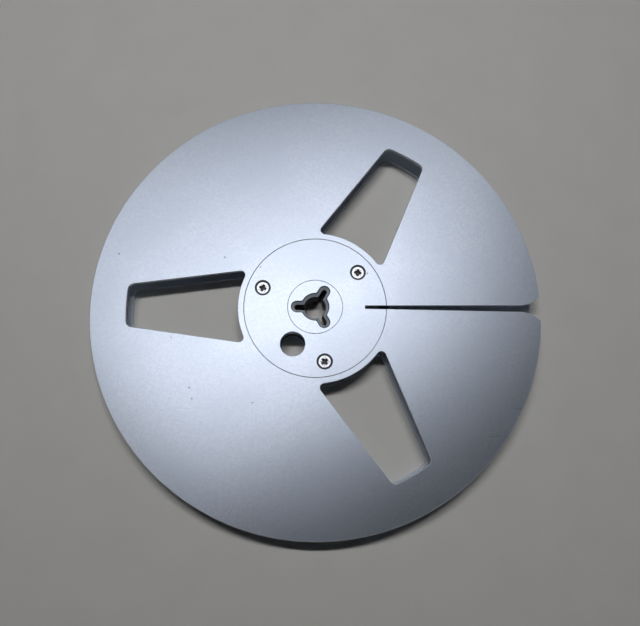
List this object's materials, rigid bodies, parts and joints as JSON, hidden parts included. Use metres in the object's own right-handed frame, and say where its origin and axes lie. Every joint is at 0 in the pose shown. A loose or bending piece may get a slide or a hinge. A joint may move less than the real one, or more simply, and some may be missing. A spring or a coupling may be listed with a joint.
{
  "type": "tape reel",
  "caption": "Open aluminium tape reel: flat round flanges with tapered windows and a tape slot, clamped by screwed hub plates to a winding drum with a lobed spindle bush.",
  "frame": {"origin": "on the reel's axis, in the outer face of the rear flange, which is the face it lies on", "axes": "+Z along the spindle axis towards the front flange; +X along the front flange's tape slot"},
  "size_m": [0.178, 0.178, 0.0108],
  "materials": {
    "satin_aluminium": "fine satin, clear anodised",
    "black_anodised": "satin, black anodised",
    "bright_steel": "bright zinc plated",
    "plain_steel": "ground"
  },
  "bodies": {
    "root": {"front_flange": "satin_aluminium", "rear_flange": "satin_aluminium", "front_hub_plate": "satin_aluminium", "rear_hub_plate": "satin_aluminium", "hub_core": "black_anodised", "spindle_bush": "satin_aluminium", "front_screw_1": "bright_steel", "front_screw_2": "bright_steel", "front_screw_3": "bright_steel", "front_locating_pin": "plain_steel", "rear_screw_1": "bright_steel", "rear_screw_2": "bright_steel", "rear_screw_3": "bright_steel", "rear_locating_pin": "plain_steel"}
  },
  "joints": []
}
